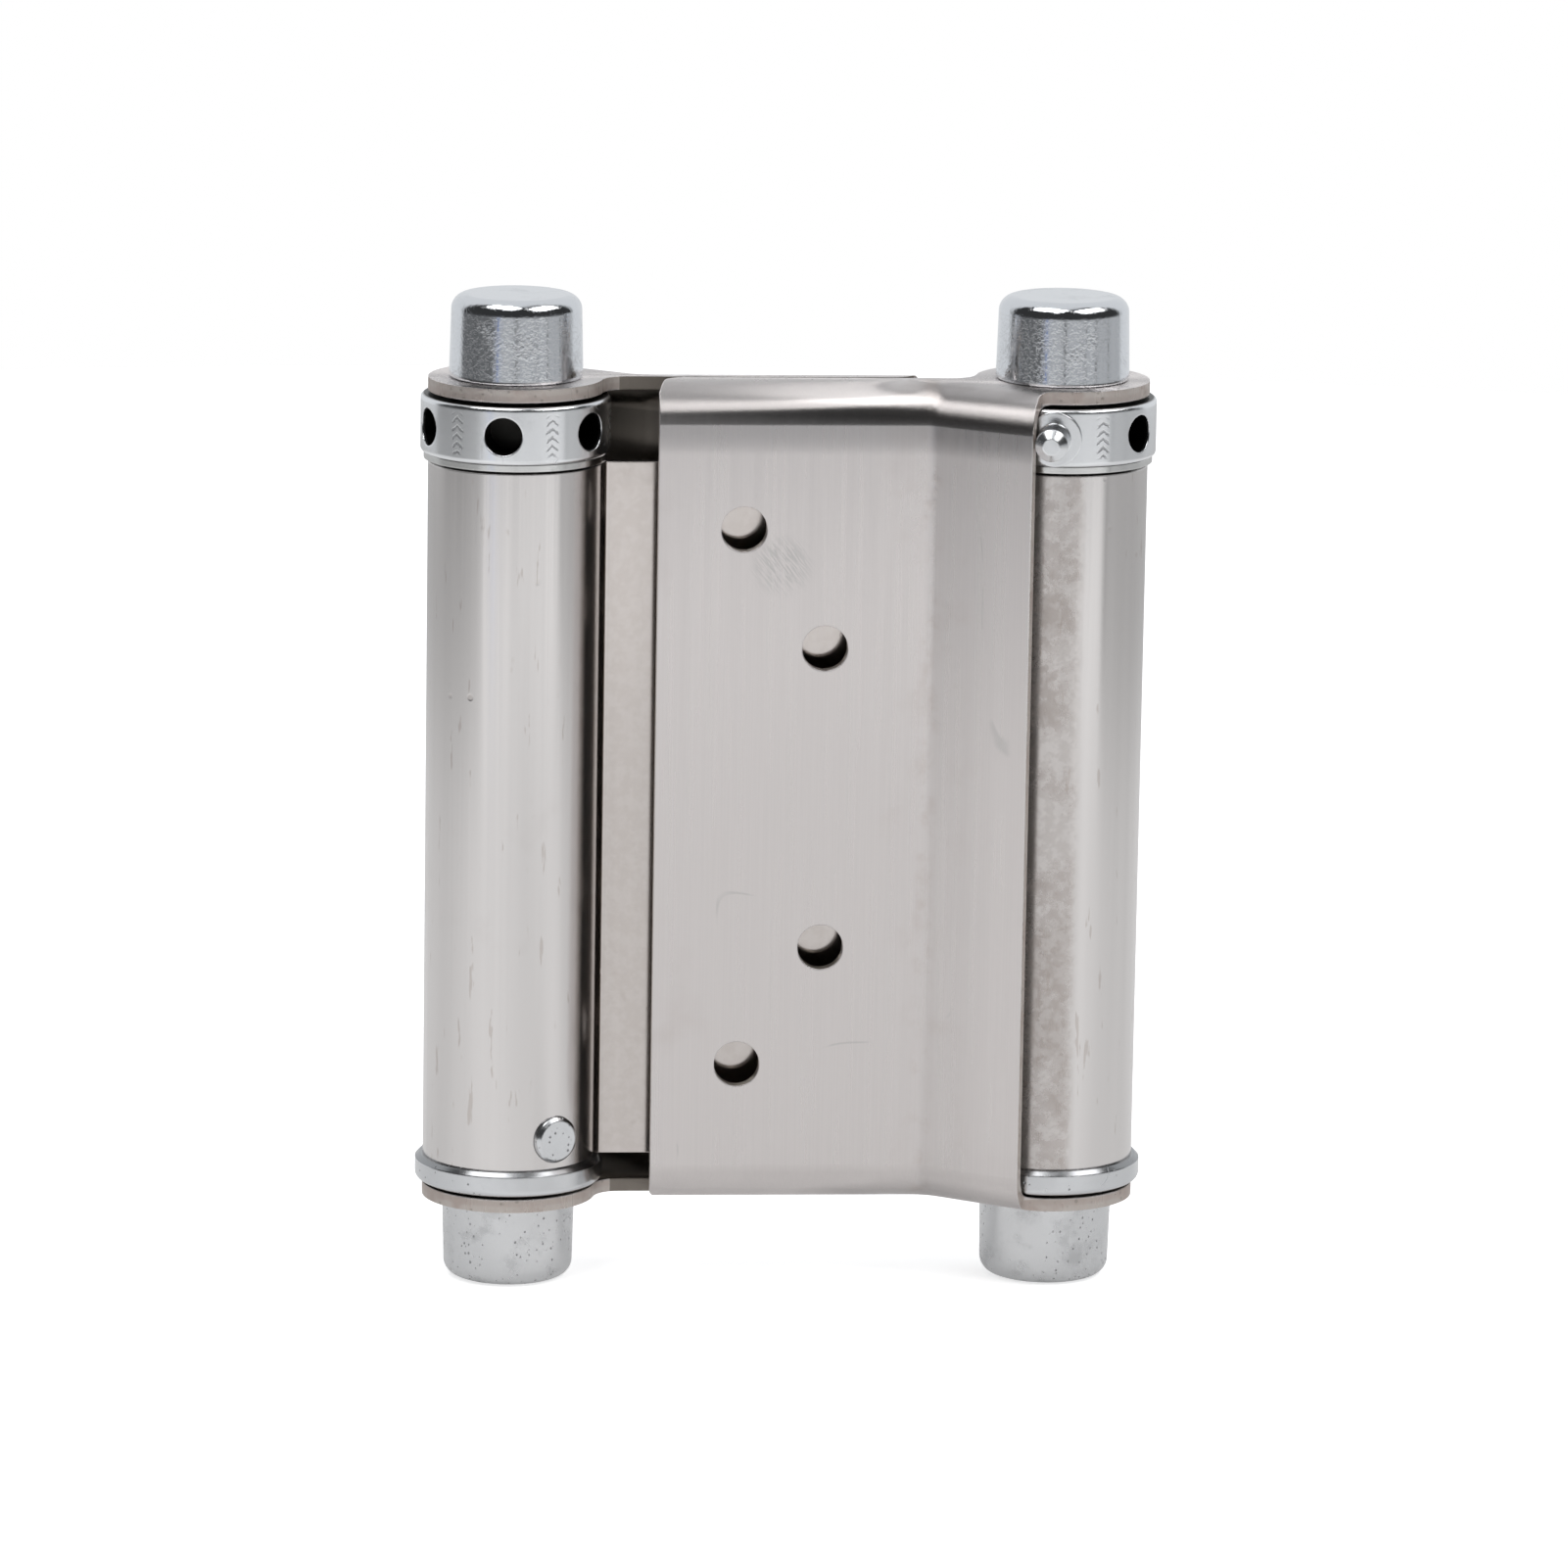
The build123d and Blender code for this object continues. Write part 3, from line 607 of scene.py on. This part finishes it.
def plating_material(name, finish, colour, roughness, pit_share, seed, smear=0.07, waves=1.0, cloud=0.0,
                     grime_and_shade=0.0, collar=False):
    """Bright plating with fine waves, a few pits, duller smears, painted shade on upward-facing rims and broken
    edges.
    """
    material, tree, shader = new_material(name)
    ripples = use_group(tree, "handling_marks", size=finish.ripple_size, spread=0.9, seed=seed).outputs["Mask"]
    smears = use_group(tree, "handling_marks", size=8.0 * finish.ripple_size, spread=0.6, seed=seed + 5.0)
    smears = smears.outputs["Mask"]
    pits = use_group(tree, "pits", size=finish.pit_size, share=pit_share, seed=seed).outputs["Mask"]
    scratches = use_group(tree, "hairlines", size=0.004, share=0.4, seed=seed).outputs["Mask"]
    edges = use_group(tree, "soft_edges", width=finish.edge_width)
    marked = pits
    dulled = tuple(0.45 * channel for channel in colour)
    if collar:
        # Columns of chevron nicks half way between the winding holes
        radius, angle, height = round_the_pin(tree)
        turn = calculate(tree, "SUBTRACT", angle, winding_angle + pi / WINDING_HOLES)
        between = calculate(tree, "PINGPONG", calculate(tree, "ADD", turn, 2.0 * pi), pi / WINDING_HOLES)
        off_column = times(tree, between, radius)
        wander = times(tree, calculate(tree, "SUBTRACT", ripples, 0.5), 0.12 * MILLIMETRE)
        column = ramp(tree, calculate(tree, "ADD", off_column, wander), 0.5 * finish.nick_width,
                      0.35 * finish.nick_width)
        slanting = calculate(tree, "ADD", times(tree, off_column, 0.8), wander)
        slant = calculate(tree, "DIVIDE", calculate(tree, "ADD", height, slanting), finish.nick_pitch)
        nick = ramp(tree, calculate(tree, "PINGPONG", slant, 0.5), 0.26, 0.44)
        broken = ramp(tree, smears, 0.0, 1.0, 0.6, 1.0)
        ends = ramp(tree, away_from(tree, height, winding_z), 2.0 * MILLIMETRE, 1.4 * MILLIMETRE)
        nicks = times(tree, times(tree, times(tree, column, nick), broken), ends)
        marked = either(tree, pits, nicks)
    # Painted shade: upward-facing faces darkened by the given amount, which dims the rims' highlight
    facing_up = ramp(tree, split_axes(tree, "Normal")[2], 0.3, 0.6)
    soil_and_top_shade = either(tree, times(tree, smears, cloud), times(tree, facing_up, grime_and_shade))
    pitted = mix_colours(tree, either(tree, times(tree, marked, 0.8), soil_and_top_shade), colour, dulled)
    rough = ramp(tree, smears, 0.0, 1.0, roughness, roughness + smear)
    rough = calculate(tree, "ADD", rough, times(tree, either(tree, marked, scratches), 0.2))
    if collar:
        # Painted shade in the winding holes: near black past a short depth
        bore_shaded = ramp(tree, radius, collar_face - 0.1 * MILLIMETRE, collar_face - finish.bore_shade_depth)
        pitted = mix_colours(tree, bore_shaded, pitted, finish.bore_shade)
        rough = calculate(tree, "ADD", rough, times(tree, bore_shaded, 0.15))
    set_input(tree, shader.inputs["Base Color"], pitted)
    shader.inputs["Metallic"].default_value = 1.0
    set_input(tree, shader.inputs["Roughness"], rough)
    swell = times(tree, ripples, ramp(tree, smears, 0.0, 1.0, 0.35, 1.0))
    waved = bump(tree, swell, waves * finish.ripple_depth, edges.outputs["Normal"])
    set_input(tree, shader.inputs["Normal"], bump(tree, times(tree, marked, -1.0), 0.02 * MILLIMETRE, waved))
    lay_out(tree)
    return material


def steel_material(name, finish, colour, roughness, seed):
    """Drawn or turned steel with fine lines round it and clouds of oil."""
    material, tree, shader = new_material(name)
    place = add_node(tree, "ShaderNodeTexCoord").outputs["Object"]
    height = add_node(tree, "ShaderNodeSeparateXYZ", {0: place}).outputs["Z"]
    turns = calculate(tree, "DIVIDE", height, finish.turning_width)
    lines = add_node(tree, "ShaderNodeTexNoise", {"W": turns, "Scale": 1.0, "Detail": 2.0},
                     noise_dimensions="1D").outputs["Fac"]
    oil = use_group(tree, "handling_marks", size=0.004, spread=0.6, seed=seed)
    edges = use_group(tree, "soft_edges", width=finish.edge_width)
    darker = tuple(0.7 * channel for channel in colour)
    oiled = mix_colours(tree, times(tree, oil.outputs["Mask"], 0.5), colour, darker)
    set_input(tree, shader.inputs["Base Color"], oiled)
    shader.inputs["Metallic"].default_value = 1.0
    set_input(tree, shader.inputs["Roughness"],
              ramp(tree, oil.outputs["Mask"], 0.0, 1.0, roughness, roughness + 0.1))
    set_input(tree, shader.inputs["Normal"],
              bump(tree, lines, finish.turning_depth, edges.outputs["Normal"]))
    lay_out(tree)
    return material


def dress(names, material):
    """Puts the finish on each named node of the frame."""
    for name in names:
        mesh = frame["nodes"][name].data
        mesh.materials.clear()
        mesh.materials.append(material)


def both(piece):
    return [f"{side}_{piece}" for side in SIDES]


class HINGE_OT_leaves(Operator):
    """Finish the door leaf and the jamb leaf"""

    bl_idname = "hinge.leaves"
    bl_label = "Leaves"

    def execute(self, context):
        dress(["door_leaf", "jamb_leaf"], leaf_material(context.scene.spring_hinge.leaf))
        return {"FINISHED"}


class HINGE_OT_middle_leaf(Operator):
    """Finish the middle leaf with its two tubes"""

    bl_idname = "hinge.middle_leaf"
    bl_label = "Middle Leaf"

    def execute(self, context):
        dress(["middle_leaf"], barrel_material(context.scene.spring_hinge.barrel))
        return {"FINISHED"}


class HINGE_OT_caps(Operator):
    """Finish the polished caps on the spindle ends"""

    bl_idname = "hinge.caps"
    bl_label = "Caps"

    def execute(self, context):
        finish = context.scene.spring_hinge.plating
        top = plating_material("polished_chrome", finish, finish.chrome, finish.chrome_roughness, 0.15, 1.0,
                               smear=0.1, waves=14.0)
        foot = plating_material("satin_chrome", finish, finish.satin, finish.satin_roughness, 0.75, 3.0,
                                cloud=0.3)
        dress(both("top_cap"), top)
        dress(both("bottom_cap"), foot)
        return {"FINISHED"}


class HINGE_OT_collars(Operator):
    """Finish the tension collars and the pins in their winding holes"""

    bl_idname = "hinge.collars"
    bl_label = "Tension Collars and Pins"

    def execute(self, context):
        finish = context.scene.spring_hinge.plating
        dress(both("tension_collar"), plating_material("nickel_collar", finish, finish.nickel,
                                                       finish.nickel_roughness, 0.35, 11.0, collar=True))
        dress(both("tension_pin"), plating_material("nickel_pin", finish, finish.nickel,
                                                    finish.nickel_roughness, 0.2, 13.0))
        return {"FINISHED"}


class HINGE_OT_plugs(Operator):
    """Finish the bottom plugs and the pins that lock them"""

    bl_idname = "hinge.plugs"
    bl_label = "Bottom Plugs and Pins"

    def execute(self, context):
        finish = context.scene.spring_hinge.plating
        dress(both("bottom_plug"), plating_material("plug_plating", finish, finish.plug,
                                                    finish.nickel_roughness, 0.5, 17.0, grime_and_shade=0.9))
        dress(both("plug_pin"), plating_material("pin_plating", finish, finish.plug, finish.nickel_roughness,
                                                 0.95, 19.0))
        return {"FINISHED"}


class HINGE_OT_spindles(Operator):
    """Finish the spindles and the washers under the collars"""

    bl_idname = "hinge.spindles"
    bl_label = "Spindles and Washers"

    def execute(self, context):
        finish = context.scene.spring_hinge.steel
        dress(both("spindle") + both("collar_washer"),
              steel_material("bright_steel", finish, finish.bright, finish.bright_roughness, 21.0))
        return {"FINISHED"}


class HINGE_OT_springs(Operator):
    """Finish the torsion springs in the tubes"""

    bl_idname = "hinge.springs"
    bl_label = "Torsion Springs"

    def execute(self, context):
        finish = context.scene.spring_hinge.steel
        dress(both("spring"), steel_material("spring_wire", finish, finish.spring, finish.spring_roughness, 29.0))
        return {"FINISHED"}


def floor_light(tree):
    """Uneven light on the floor, as the metal mirrors it: by bearing, and dimmer far out at the sides."""
    x, y = split_axes(tree, "Object")[:2]
    azimuth = calculate(tree, "ARCTAN2", x, times(tree, y, -1.0))
    flat = add_node(tree, "ShaderNodeCombineXYZ", {"X": x, "Y": y}).outputs[0]
    radius = add_node(tree, "ShaderNodeVectorMath", {0: flat}, operation="LENGTH").outputs["Value"]
    turn = add_node(tree, "ShaderNodeMapRange", {"Value": azimuth, "From Min": -pi, "From Max": pi})
    curve = add_node(tree, "ShaderNodeValToRGB", {"Fac": turn.outputs["Result"]})
    stops = curve.color_ramp.elements
    for index, (bearing, level) in enumerate(FLOOR_LIGHT):
        stop = stops[index] if index < len(stops) else stops.new(1.0)
        stop.position = 0.5 + bearing / 360.0
        stop.color = (level, level, level, 1.0)
    level = curve.outputs["Color"]
    far = ramp(tree, radius, 0.16, 0.42)
    front = times(tree, ramp(tree, azimuth, radians(-52.0), radians(-46.0)),
                  ramp(tree, azimuth, radians(62.0), radians(52.0)))
    reach = add_node(tree, "ShaderNodeMix", {0: front, 2: ramp(tree, far, 0.0, 1.0, 1.0, 0.7),
                                             3: ramp(tree, far, 0.0, 1.0, 1.0, 1.16)}).outputs[0]
    outer = ramp(tree, radius, 0.3, 0.36)
    stand = times(tree, bearing_line(tree, azimuth, *STAND), outer)
    cable = times(tree, bearing_line(tree, azimuth, *CABLE), outer)
    tone = times(tree, times(tree, level, reach), ramp(tree, stand, 0.0, 1.0, 1.0, 0.35))
    return tone, mix_colours(tree, cable, (1.0, 1.0, 1.0), (0.62, 0.72, 1.0))


def bearing_line(tree, azimuth, bearing, half_width):
    """Mask of a narrow strip at one bearing, both in degrees."""
    off = away_from(tree, azimuth, radians(bearing))
    return ramp(tree, off, radians(half_width), radians(0.5 * half_width))


def build_floor(studio):
    """Round pale floor under the hinge."""
    mesh = bpy.data.meshes.new("floor")
    disc = bmesh.new()
    bmesh.ops.create_circle(disc, cap_ends=True, segments=96, radius=studio.floor_radius)
    disc.to_mesh(mesh)
    disc.free()
    floor = bpy.data.objects.new("floor", mesh)
    floor.location.z = foot_z
    bpy.context.scene.collection.objects.link(floor)
    material, tree, shader = new_material("pale_floor")
    tone, tint = floor_light(tree)
    dimmed = tuple(studio.floor_shade * channel for channel in studio.floor_colour)
    shaded = mix_colours(tree, 1.0, mix_colours(tree, 1.0, dimmed, tint, "MULTIPLY"), tone, "MULTIPLY")
    in_view = add_node(tree, "ShaderNodeLightPath").outputs["Is Camera Ray"]
    set_input(tree, shader.inputs["Base Color"], mix_colours(tree, in_view, shaded, studio.floor_colour))
    shader.inputs["Roughness"].default_value = 0.9
    shader.inputs["Specular IOR Level"].default_value = 0.1
    lit = mix_colours(tree, 1.0, tint, times(tree, tone, studio.floor_glow), "MULTIPLY")
    set_input(tree, shader.inputs["Emission Color"], mix_colours(tree, in_view, lit, (0.6, 0.6, 0.6)))
    shader.inputs["Emission Strength"].default_value = 1.0
    lay_out(tree)
    mesh.materials.append(material)


def direction(azimuth, elevation):
    """Direction from the hinge, where azimuth 0 is the front and turns towards +X."""
    return Vector((sin(azimuth) * cos(elevation), -cos(azimuth) * cos(elevation), sin(elevation)))


def build_soft_boxes(studio):
    """Two wide soft boxes above the front, left and right of the camera."""
    for name, azimuth, elevation in (("left_soft_box", studio.left_azimuth, studio.left_elevation),
                                     ("right_soft_box", studio.right_azimuth, studio.right_elevation)):
        light = bpy.data.lights.new(name, "AREA")
        light.shape = "RECTANGLE"
        light.size = studio.box_width
        light.size_y = studio.box_height
        light.energy = studio.box_power
        lamp = bpy.data.objects.new(name, light)
        toward = direction(azimuth, elevation)
        lamp.location = toward * studio.box_distance
        lamp.rotation_euler = toward.to_track_quat("Z", "Y").to_euler()
        bpy.context.scene.collection.objects.link(lamp)


def build_room(studio):
    """Pale backdrop and ceiling, and a dim room with grey panels low in front of the hinge."""
    world = bpy.data.worlds.new("studio_room")
    bpy.context.scene.world = world
    world.use_nodes = True
    tree = world.node_tree
    background = tree.nodes["Background"]
    ray = add_node(tree, "ShaderNodeTexCoord").outputs["Generated"]
    axes = add_node(tree, "ShaderNodeSeparateXYZ", {0: ray}).outputs
    azimuth = calculate(tree, "ARCTAN2", axes["X"], times(tree, axes["Y"], -1.0))
    height = calculate(tree, "ARCSINE", axes["Z"])
    behind = ramp(tree, away_from(tree, azimuth), radians(106.0), radians(118.0))
    overhead = ramp(tree, height, radians(66.0), radians(82.0))
    low = ramp(tree, height, radians(4.0), radians(-2.0))
    strips = add_node(tree, "ShaderNodeTexNoise", {"W": times(tree, azimuth, 6.0), "Scale": 1.0, "Detail": 3.0,
                                                   "Roughness": 0.7}, noise_dimensions="1D").outputs["Fac"]
    panel = times(tree, ramp(tree, strips, 0.37, 0.46, 0.35, 1.0),
                  ramp(tree, azimuth, radians(-46.0), radians(-34.0), 0.25, 1.0))
    front = add_node(tree, "ShaderNodeMix", {0: times(tree, low, panel), 2: studio.room, 3: studio.panels})
    covered = add_node(tree, "ShaderNodeMix", {0: overhead, 2: front.outputs[0], 3: studio.ceiling})
    shown = add_node(tree, "ShaderNodeMix", {0: behind, 2: covered.outputs[0], 3: studio.backdrop})
    in_view = add_node(tree, "ShaderNodeLightPath").outputs["Is Camera Ray"]
    strength = add_node(tree, "ShaderNodeMix", {0: in_view, 2: shown.outputs[0], 3: 1.0}).outputs[0]
    blue = times(tree, bearing_line(tree, azimuth, -35.0, 1.8), low)
    tone = mix_colours(tree, blue, (0.95, 0.975, 1.0), (0.35, 0.5, 1.0))
    set_input(tree, background.inputs["Color"], mix_colours(tree, in_view, tone, (1.0, 1.0, 1.0)))
    set_input(tree, background.inputs["Strength"], strength)
    lay_out(tree)


def build_camera(studio):
    """Camera at the photograph's viewing angle."""
    back = direction(studio.azimuth, studio.elevation)
    level_right = (-back).cross(Vector((0.0, 0.0, 1.0))).normalized()
    level_up = level_right.cross(-back)
    right = cos(studio.roll) * level_right + sin(studio.roll) * level_up
    up = cos(studio.roll) * level_up - sin(studio.roll) * level_right
    turn = Matrix((right, up, back)).transposed().to_4x4()
    lens = bpy.data.cameras.new("camera")
    lens.lens = studio.lens
    lens.sensor_width = 36.0
    lens.clip_start = 0.01
    camera = bpy.data.objects.new("camera", lens)
    camera.matrix_world = Matrix.Translation(Vector(studio.aim) + back * studio.distance) @ turn
    bpy.context.scene.collection.objects.link(camera)
    bpy.context.scene.camera = camera


class HINGE_OT_studio(Operator):
    """Set the floor, the light and the camera"""

    bl_idname = "hinge.studio"
    bl_label = "Studio"

    def execute(self, context):
        studio = context.scene.spring_hinge.studio
        build_camera(studio)
        build_floor(studio)
        build_soft_boxes(studio)
        build_room(studio)
        context.scene.view_settings.view_transform = "Standard"
        return {"FINISHED"}


OPERATORS = (
    HINGE_OT_studio,
    HINGE_OT_leaves,
    HINGE_OT_middle_leaf,
    HINGE_OT_caps,
    HINGE_OT_collars,
    HINGE_OT_plugs,
    HINGE_OT_spindles,
    HINGE_OT_springs,
)


class HINGE_PT_panel(Panel):
    """Buttons for the studio and each finish, with their settings"""

    bl_idname = "HINGE_PT_panel"
    bl_label = "Spring Hinge"
    bl_space_type = "VIEW_3D"
    bl_region_type = "UI"
    bl_category = "Spring Hinge"

    def draw(self, context):
        settings = context.scene.spring_hinge
        for operator in OPERATORS:
            self.layout.operator(operator.bl_idname)
        for name in ("leaf", "barrel", "plating", "steel", "studio"):
            group = getattr(settings, name)
            box = self.layout.box()
            box.label(text=name.capitalize())
            for field in group.__annotations__:
                box.prop(group, field)


CLASSES = (LeafFinish, BarrelFinish, PlatingFinish, SteelFinish, StudioSettings, HingeSettings,
           *OPERATORS, HINGE_PT_panel)


def register():
    for item in CLASSES:
        bpy.utils.register_class(item)
    bpy.types.Scene.spring_hinge = PointerProperty(type=HingeSettings)


def unregister():
    del bpy.types.Scene.spring_hinge
    for item in reversed(CLASSES):
        bpy.utils.unregister_class(item)


def main():
    register()
    bpy.ops.hinge.studio()
    bpy.ops.hinge.leaves()
    bpy.ops.hinge.middle_leaf()
    bpy.ops.hinge.caps()
    bpy.ops.hinge.collars()
    bpy.ops.hinge.plugs()
    bpy.ops.hinge.spindles()
    bpy.ops.hinge.springs()


if __name__ == "__main__":
    main()
